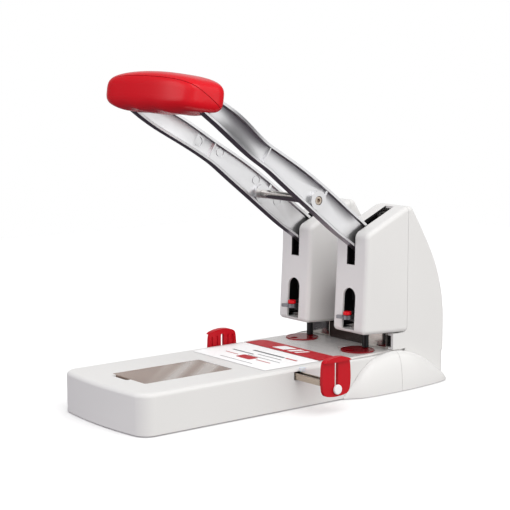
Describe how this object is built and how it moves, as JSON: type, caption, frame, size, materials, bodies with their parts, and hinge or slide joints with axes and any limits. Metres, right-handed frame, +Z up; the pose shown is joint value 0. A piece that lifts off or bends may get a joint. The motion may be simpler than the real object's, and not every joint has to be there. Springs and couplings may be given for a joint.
{
  "type": "hole punch",
  "caption": "Heavy-duty two-hole paper punch: long base, two punch towers, two-armed lever with grip, turnable punch discs and pull-out side guides.",
  "frame": {"origin": "centre of the bounding box's underside, on the table under the rubber feet", "axes": "+Z up, +Y from the front of the base towards the towers, +X to the right of a user standing at the front"},
  "size_m": [0.1766, 0.3586, 0.2994],
  "materials": {
    "white_plastic": "fine satin moulding",
    "gloss_white_plastic": "gloss moulding",
    "red_plastic": "satin gloss moulding",
    "dark_red_plastic": "gloss moulding",
    "red_label": "printed film",
    "cast_aluminium": "die cast, lightly blasted",
    "satin_steel": "brushed",
    "polished_steel": "polished",
    "black_steel": "black oxide",
    "black_plastic": "matt",
    "brown_plastic": "satin gloss",
    "rubber": "matt",
    "smoked_window": "smoked, glossy",
    "label_paper": "smooth sheet",
    "knob_plastic": "satin",
    "frosted_plastic": "frosted"
  },
  "bodies": {
    "base": {"accessory_tray": "black_plastic", "base_cover": "white_plastic", "base_plate": "black_plastic", "base_screw_1": "polished_steel", "base_screw_2": "polished_steel", "base_screw_3": "polished_steel", "base_screw_4": "polished_steel", "center_housing": "brown_plastic", "deck_plate": "satin_steel", "fender_left": "gloss_white_plastic", "fender_right": "gloss_white_plastic", "foot_1": "rubber", "foot_2": "rubber", "foot_3": "rubber", "foot_4": "rubber", "frame_left": "satin_steel", "frame_right": "satin_steel", "label_band": "red_label", "label_sheet": "label_paper", "pivot_pin_left": "polished_steel", "pivot_pin_right": "polished_steel", "punch_guide_left": "black_plastic", "punch_guide_right": "black_plastic", "rail_bearing": "black_plastic", "rail_lug_right": "frosted_plastic", "rear_cover": "white_plastic", "rear_plate": "black_plastic", "spring_left": "polished_steel", "spring_right": "polished_steel", "tower_cover_left": "white_plastic", "tower_cover_right": "white_plastic"},
    "lever": {"handle_upper": "red_plastic", "handle_lower": "red_plastic", "handle_bar": "polished_steel", "cross_rod": "polished_steel", "arm_left": "cast_aluminium", "arm_right": "cast_aluminium", "drive_pin_left": "polished_steel", "drive_pin_right": "polished_steel", "rod_screw_left": "polished_steel", "rod_screw_right": "polished_steel"},
    "punch_left": {"punch_left": "black_steel", "punch_holder_left": "black_plastic"},
    "punch_right": {"punch_right": "black_steel", "punch_holder_right": "black_plastic"},
    "release_left": {"release_lever_left": "cast_aluminium", "lever_cap_left": "red_plastic"},
    "release_right": {"release_lever_right": "cast_aluminium", "lever_cap_right": "red_plastic"},
    "guide_left": {"guide_left": "red_plastic", "guide_rail_left": "satin_steel"},
    "guide_right": {"guide_right": "red_plastic", "guide_rail_right": "satin_steel"},
    "knob_left": {"guide_knob_left": "knob_plastic"},
    "knob_right": {"guide_knob_right": "knob_plastic"},
    "disc_left": {"disc_left": "dark_red_plastic"},
    "disc_right": {"disc_right": "dark_red_plastic"},
    "lid": {"window_lid": "smoked_window"},
    "hatch": {"chip_hatch": "black_plastic"}
  },
  "joints": [
    {"name": "lever_hinge", "type": "hinge", "parent": "base", "child": "lever", "pos_m": [-0.01475, 0.1217, 0.118], "axis": [1, 0, 0], "range_deg": [-25, 18]},
    {"name": "punch_slide_left", "type": "slide", "parent": "base", "child": "punch_left", "axis": [0, 0, 1], "range_m": [-0.00817, 0.01134], "deforming": ["spring_left"]},
    {"name": "punch_slide_right", "type": "slide", "parent": "base", "child": "punch_right", "axis": [0, 0, 1], "range_m": [-0.00817, 0.01134], "deforming": ["spring_right"]},
    {"name": "release_pivot_left", "type": "hinge", "parent": "punch_left", "child": "release_left", "pos_m": [-0.05475, 0.0817, 0.0705], "axis": [0, 0, 1], "range_deg": [0, 18]},
    {"name": "release_pivot_right", "type": "hinge", "parent": "punch_right", "child": "release_right", "pos_m": [0.02525, 0.0817, 0.0705], "axis": [0, 0, 1], "range_deg": [0, 18]},
    {"name": "guide_slide_left", "type": "slide", "parent": "base", "child": "guide_left", "axis": [-1, 0, 0], "range_m": [0, 0.085]},
    {"name": "guide_slide_right", "type": "slide", "parent": "base", "child": "guide_right", "axis": [1, 0, 0], "range_m": [-0.0285, 0.052]},
    {"name": "knob_slide_left", "type": "slide", "parent": "guide_left", "child": "knob_left", "axis": [0, 0, 1], "range_m": [0, 0.019]},
    {"name": "knob_slide_right", "type": "slide", "parent": "guide_right", "child": "knob_right", "axis": [0, 0, 1], "range_m": [0, 0.019]},
    {"name": "disc_turn_left", "type": "hinge", "parent": "base", "child": "disc_left", "pos_m": [-0.05475, 0.0849, 0.037], "axis": [0, 0, 1], "continuous": true},
    {"name": "disc_turn_right", "type": "hinge", "parent": "base", "child": "disc_right", "pos_m": [0.02525, 0.0849, 0.037], "axis": [0, 0, 1], "continuous": true},
    {"name": "lid_hinge", "type": "hinge", "parent": "base", "child": "lid", "pos_m": [-0.01475, -0.0565, 0.0364], "axis": [-1, 0, 0], "range_deg": [0, 95]},
    {"name": "hatch_hinge", "type": "hinge", "parent": "base", "child": "hatch", "pos_m": [-0.01475, 0.1137, 0.0022], "axis": [1, 0, 0], "range_deg": [0, 80]}
  ],
  "couplings": [
    {"joint": "punch_slide_left", "follows": "lever_hinge", "m_per_rad": -0.026},
    {"joint": "punch_slide_right", "follows": "lever_hinge", "m_per_rad": -0.026}
  ]
}
